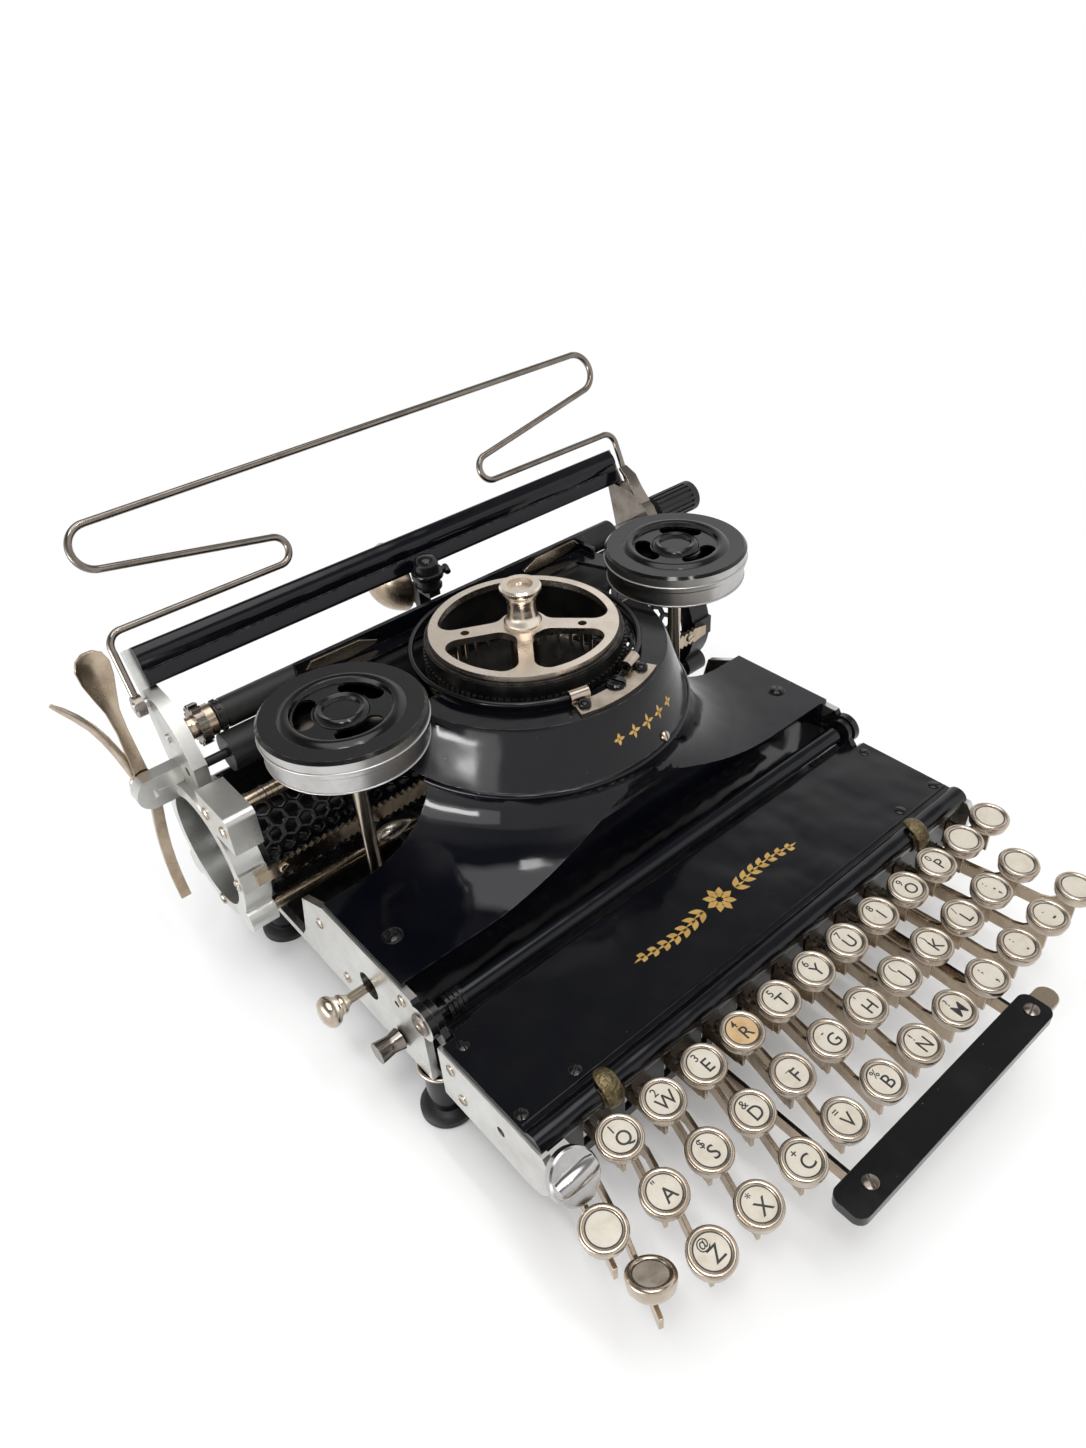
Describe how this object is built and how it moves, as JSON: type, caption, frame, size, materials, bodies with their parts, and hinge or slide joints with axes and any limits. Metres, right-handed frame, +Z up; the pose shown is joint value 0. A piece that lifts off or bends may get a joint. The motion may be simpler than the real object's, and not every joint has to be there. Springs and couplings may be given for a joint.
{
  "type": "folding typewriter",
  "caption": "Portable typewriter with a fold-up keyboard half, a type turret, ribbon spools on posts and a sliding paper carriage with a perforated basket.",
  "frame": {"origin": "on the table under the middle of the part's box", "axes": "+X to the typist's right, +Y to the back, +Z up"},
  "size_m": [0.334, 0.3315, 0.1938],
  "materials": {
    "aluminium": "worn satin",
    "japan": "gloss",
    "nickel": "worn plating",
    "steel": "satin",
    "rubber": "matte"
  },
  "bodies": {
    "base": {"side_plates": "aluminium", "bed_plate": "japan", "feet": "rubber", "shroud": "japan", "turret_hood": "japan", "turret_clip": "nickel", "frame_rods": "steel", "spool_cases": "japan", "bell": "nickel"},
    "keyboard": {"keyboard_frame": "aluminium", "front_cover": "japan"},
    "carriage": {"carriage_ends": "aluminium", "paper_basket": "japan", "carriage_rails": "nickel", "paper_table": "japan"},
    "type_wheel": {"type_wheel": "nickel"},
    "left_ribbon_spool": {"left_ribbon_spool": "steel"},
    "right_ribbon_spool": {"right_ribbon_spool": "steel"},
    "platen": {"platen": "rubber"},
    "feed_roller": {"feed_roller": "rubber"},
    "paper_support": {"paper_support": "steel"},
    "release_lever": {"release_lever": "nickel"},
    "line_lever": {"line_lever": "nickel"},
    "space_bar": {"space_bar": "japan"},
    "latch_knob": {"latch_knob": "aluminium"},
    "pull_knob": {"pull_knob": "nickel"},
    "figure_shift_keys": {"figure_shift_keys": "nickel"},
    "capital_shift_keys": {"capital_shift_keys": "nickel"},
    "backspace_key": {"backspace_key": "nickel"},
    "margin_key": {"margin_key": "nickel"},
    "key_q": {"key_q": "nickel"},
    "key_w": {"key_w": "nickel"},
    "key_e": {"key_e": "nickel"},
    "key_r": {"key_r": "nickel"},
    "key_t": {"key_t": "nickel"},
    "key_y": {"key_y": "nickel"},
    "key_u": {"key_u": "nickel"},
    "key_i": {"key_i": "nickel"},
    "key_o": {"key_o": "nickel"},
    "key_p": {"key_p": "nickel"},
    "key_a": {"key_a": "nickel"},
    "key_s": {"key_s": "nickel"},
    "key_d": {"key_d": "nickel"},
    "key_f": {"key_f": "nickel"},
    "key_g": {"key_g": "nickel"},
    "key_h": {"key_h": "nickel"},
    "key_j": {"key_j": "nickel"},
    "key_k": {"key_k": "nickel"},
    "key_l": {"key_l": "nickel"},
    "key_semicolon": {"key_semicolon": "nickel"},
    "key_z": {"key_z": "nickel"},
    "key_x": {"key_x": "nickel"},
    "key_c": {"key_c": "nickel"},
    "key_v": {"key_v": "nickel"},
    "key_b": {"key_b": "nickel"},
    "key_n": {"key_n": "nickel"},
    "key_m": {"key_m": "nickel"},
    "key_comma": {"key_comma": "nickel"},
    "key_period": {"key_period": "nickel"},
    "key_hyphen": {"key_hyphen": "nickel"}
  },
  "joints": [
    {"name": "keyboard_fold", "type": "hinge", "parent": "base", "child": "keyboard", "pos_m": [0, -0.026, 0.063], "axis": [-1, 0, 0], "range_deg": [0, 90]},
    {"name": "carriage_slide", "type": "slide", "parent": "base", "child": "carriage", "axis": [1, 0, 0], "range_m": [-0.06, 0.06]},
    {"name": "type_wheel_turn", "type": "hinge", "parent": "base", "child": "type_wheel", "pos_m": [0, 0.054, 0.131], "axis": [0, 0, 1], "range_deg": [-75, 75], "stiffness_Nm_per_rad": 0.02},
    {"name": "platen_turn", "type": "hinge", "parent": "carriage", "child": "platen", "pos_m": [0, 0.118, 0.116], "axis": [1, 0, 0], "continuous": true},
    {"name": "feed_roller_turn", "type": "hinge", "parent": "carriage", "child": "feed_roller", "pos_m": [0, 0.1075, 0.105], "axis": [1, 0, 0], "continuous": true},
    {"name": "left_spool_turn", "type": "hinge", "parent": "base", "child": "left_ribbon_spool", "pos_m": [-0.0872, 0.0523, 0.127], "axis": [0, 0, 1], "continuous": true},
    {"name": "right_spool_turn", "type": "hinge", "parent": "base", "child": "right_ribbon_spool", "pos_m": [0.0872, 0.0523, 0.127], "axis": [0, 0, 1], "continuous": true},
    {"name": "paper_support_swing", "type": "hinge", "parent": "carriage", "child": "paper_support", "pos_m": [0, 0.131, 0.127], "axis": [-1, 0, 0], "range_deg": [0, 35]},
    {"name": "release_lever_swing", "type": "hinge", "parent": "carriage", "child": "release_lever", "pos_m": [-0.145, 0.124, 0.096], "axis": [0, -1, 0], "range_deg": [0, 17]},
    {"name": "line_lever_swing", "type": "hinge", "parent": "carriage", "child": "line_lever", "pos_m": [-0.145, 0.127, 0.096], "axis": [0, 1, 0], "range_deg": [0, 20], "stiffness_Nm_per_rad": 0.2, "springref_deg": -11.46},
    {"name": "latch_turn", "type": "hinge", "parent": "keyboard", "child": "latch_knob", "pos_m": [-0.116, -0.099, 0.057], "axis": [0, -0.766, 0.6428], "range_deg": [-35, 35]},
    {"name": "pull_knob_slide", "type": "slide", "parent": "base", "child": "pull_knob", "axis": [-1, 0, 0], "range_m": [0, 0.006], "stiffness_N_per_m": 400, "springref_m": -0.004},
    {"name": "space_bar_press", "type": "hinge", "parent": "keyboard", "child": "space_bar", "pos_m": [0, -0.04, 0.037], "axis": [1, 0, 0], "range_deg": [0, 2.6], "stiffness_Nm_per_rad": 0.4, "springref_deg": -20.05},
    {"name": "figure_shift_press", "type": "hinge", "parent": "keyboard", "child": "figure_shift_keys", "pos_m": [0, -0.04, 0.042], "axis": [1, 0, 0], "range_deg": [0, 3.8], "stiffness_Nm_per_rad": 0.25, "springref_deg": -20.05},
    {"name": "capital_shift_press", "type": "hinge", "parent": "keyboard", "child": "capital_shift_keys", "pos_m": [0, -0.04, 0.037], "axis": [1, 0, 0], "range_deg": [0, 3], "stiffness_Nm_per_rad": 0.25, "springref_deg": -20.05},
    {"name": "backspace_key_press", "type": "hinge", "parent": "keyboard", "child": "backspace_key", "pos_m": [0, -0.04, 0.047], "axis": [1, 0, 0], "range_deg": [0, 5], "stiffness_Nm_per_rad": 0.1, "springref_deg": -17.19},
    {"name": "margin_key_press", "type": "hinge", "parent": "keyboard", "child": "margin_key", "pos_m": [0, -0.04, 0.047], "axis": [1, 0, 0], "range_deg": [0, 5], "stiffness_Nm_per_rad": 0.1, "springref_deg": -17.19},
    {"name": "key_q_press", "type": "hinge", "parent": "keyboard", "child": "key_q", "pos_m": [0, -0.04, 0.047], "axis": [1, 0, 0], "range_deg": [0, 5], "stiffness_Nm_per_rad": 0.1, "springref_deg": -17.19},
    {"name": "key_w_press", "type": "hinge", "parent": "keyboard", "child": "key_w", "pos_m": [0, -0.04, 0.047], "axis": [1, 0, 0], "range_deg": [0, 5], "stiffness_Nm_per_rad": 0.1, "springref_deg": -17.19},
    {"name": "key_e_press", "type": "hinge", "parent": "keyboard", "child": "key_e", "pos_m": [0, -0.04, 0.047], "axis": [1, 0, 0], "range_deg": [0, 5], "stiffness_Nm_per_rad": 0.1, "springref_deg": -17.19},
    {"name": "key_r_press", "type": "hinge", "parent": "keyboard", "child": "key_r", "pos_m": [0, -0.04, 0.047], "axis": [1, 0, 0], "range_deg": [0, 5], "stiffness_Nm_per_rad": 0.1, "springref_deg": -17.19},
    {"name": "key_t_press", "type": "hinge", "parent": "keyboard", "child": "key_t", "pos_m": [0, -0.04, 0.047], "axis": [1, 0, 0], "range_deg": [0, 5], "stiffness_Nm_per_rad": 0.1, "springref_deg": -17.19},
    {"name": "key_y_press", "type": "hinge", "parent": "keyboard", "child": "key_y", "pos_m": [0, -0.04, 0.047], "axis": [1, 0, 0], "range_deg": [0, 5], "stiffness_Nm_per_rad": 0.1, "springref_deg": -17.19},
    {"name": "key_u_press", "type": "hinge", "parent": "keyboard", "child": "key_u", "pos_m": [0, -0.04, 0.047], "axis": [1, 0, 0], "range_deg": [0, 5], "stiffness_Nm_per_rad": 0.1, "springref_deg": -17.19},
    {"name": "key_i_press", "type": "hinge", "parent": "keyboard", "child": "key_i", "pos_m": [0, -0.04, 0.047], "axis": [1, 0, 0], "range_deg": [0, 5], "stiffness_Nm_per_rad": 0.1, "springref_deg": -17.19},
    {"name": "key_o_press", "type": "hinge", "parent": "keyboard", "child": "key_o", "pos_m": [0, -0.04, 0.047], "axis": [1, 0, 0], "range_deg": [0, 5], "stiffness_Nm_per_rad": 0.1, "springref_deg": -17.19},
    {"name": "key_p_press", "type": "hinge", "parent": "keyboard", "child": "key_p", "pos_m": [0, -0.04, 0.047], "axis": [1, 0, 0], "range_deg": [0, 5], "stiffness_Nm_per_rad": 0.1, "springref_deg": -17.19},
    {"name": "key_a_press", "type": "hinge", "parent": "keyboard", "child": "key_a", "pos_m": [0, -0.04, 0.042], "axis": [1, 0, 0], "range_deg": [0, 3.8], "stiffness_Nm_per_rad": 0.1, "springref_deg": -17.19},
    {"name": "key_s_press", "type": "hinge", "parent": "keyboard", "child": "key_s", "pos_m": [0, -0.04, 0.042], "axis": [1, 0, 0], "range_deg": [0, 3.8], "stiffness_Nm_per_rad": 0.1, "springref_deg": -17.19},
    {"name": "key_d_press", "type": "hinge", "parent": "keyboard", "child": "key_d", "pos_m": [0, -0.04, 0.042], "axis": [1, 0, 0], "range_deg": [0, 3.8], "stiffness_Nm_per_rad": 0.1, "springref_deg": -17.19},
    {"name": "key_f_press", "type": "hinge", "parent": "keyboard", "child": "key_f", "pos_m": [0, -0.04, 0.042], "axis": [1, 0, 0], "range_deg": [0, 3.8], "stiffness_Nm_per_rad": 0.1, "springref_deg": -17.19},
    {"name": "key_g_press", "type": "hinge", "parent": "keyboard", "child": "key_g", "pos_m": [0, -0.04, 0.042], "axis": [1, 0, 0], "range_deg": [0, 3.8], "stiffness_Nm_per_rad": 0.1, "springref_deg": -17.19},
    {"name": "key_h_press", "type": "hinge", "parent": "keyboard", "child": "key_h", "pos_m": [0, -0.04, 0.042], "axis": [1, 0, 0], "range_deg": [0, 3.8], "stiffness_Nm_per_rad": 0.1, "springref_deg": -17.19},
    {"name": "key_j_press", "type": "hinge", "parent": "keyboard", "child": "key_j", "pos_m": [0, -0.04, 0.042], "axis": [1, 0, 0], "range_deg": [0, 3.8], "stiffness_Nm_per_rad": 0.1, "springref_deg": -17.19},
    {"name": "key_k_press", "type": "hinge", "parent": "keyboard", "child": "key_k", "pos_m": [0, -0.04, 0.042], "axis": [1, 0, 0], "range_deg": [0, 3.8], "stiffness_Nm_per_rad": 0.1, "springref_deg": -17.19},
    {"name": "key_l_press", "type": "hinge", "parent": "keyboard", "child": "key_l", "pos_m": [0, -0.04, 0.042], "axis": [1, 0, 0], "range_deg": [0, 3.8], "stiffness_Nm_per_rad": 0.1, "springref_deg": -17.19},
    {"name": "key_semicolon_press", "type": "hinge", "parent": "keyboard", "child": "key_semicolon", "pos_m": [0, -0.04, 0.042], "axis": [1, 0, 0], "range_deg": [0, 3.8], "stiffness_Nm_per_rad": 0.1, "springref_deg": -17.19},
    {"name": "key_z_press", "type": "hinge", "parent": "keyboard", "child": "key_z", "pos_m": [0, -0.04, 0.037], "axis": [1, 0, 0], "range_deg": [0, 3], "stiffness_Nm_per_rad": 0.1, "springref_deg": -17.19},
    {"name": "key_x_press", "type": "hinge", "parent": "keyboard", "child": "key_x", "pos_m": [0, -0.04, 0.037], "axis": [1, 0, 0], "range_deg": [0, 3], "stiffness_Nm_per_rad": 0.1, "springref_deg": -17.19},
    {"name": "key_c_press", "type": "hinge", "parent": "keyboard", "child": "key_c", "pos_m": [0, -0.04, 0.037], "axis": [1, 0, 0], "range_deg": [0, 3], "stiffness_Nm_per_rad": 0.1, "springref_deg": -17.19},
    {"name": "key_v_press", "type": "hinge", "parent": "keyboard", "child": "key_v", "pos_m": [0, -0.04, 0.037], "axis": [1, 0, 0], "range_deg": [0, 3], "stiffness_Nm_per_rad": 0.1, "springref_deg": -17.19},
    {"name": "key_b_press", "type": "hinge", "parent": "keyboard", "child": "key_b", "pos_m": [0, -0.04, 0.037], "axis": [1, 0, 0], "range_deg": [0, 3], "stiffness_Nm_per_rad": 0.1, "springref_deg": -17.19},
    {"name": "key_n_press", "type": "hinge", "parent": "keyboard", "child": "key_n", "pos_m": [0, -0.04, 0.037], "axis": [1, 0, 0], "range_deg": [0, 3], "stiffness_Nm_per_rad": 0.1, "springref_deg": -17.19},
    {"name": "key_m_press", "type": "hinge", "parent": "keyboard", "child": "key_m", "pos_m": [0, -0.04, 0.037], "axis": [1, 0, 0], "range_deg": [0, 3], "stiffness_Nm_per_rad": 0.1, "springref_deg": -17.19},
    {"name": "key_comma_press", "type": "hinge", "parent": "keyboard", "child": "key_comma", "pos_m": [0, -0.04, 0.037], "axis": [1, 0, 0], "range_deg": [0, 3], "stiffness_Nm_per_rad": 0.1, "springref_deg": -17.19},
    {"name": "key_period_press", "type": "hinge", "parent": "keyboard", "child": "key_period", "pos_m": [0, -0.04, 0.037], "axis": [1, 0, 0], "range_deg": [0, 3], "stiffness_Nm_per_rad": 0.1, "springref_deg": -17.19},
    {"name": "key_hyphen_press", "type": "hinge", "parent": "keyboard", "child": "key_hyphen", "pos_m": [0, -0.04, 0.037], "axis": [1, 0, 0], "range_deg": [0, 3], "stiffness_Nm_per_rad": 0.1, "springref_deg": -17.19}
  ],
  "couplings": [
    {"joint": "feed_roller_turn", "follows": "platen_turn", "ratio": -0.78248}
  ]
}
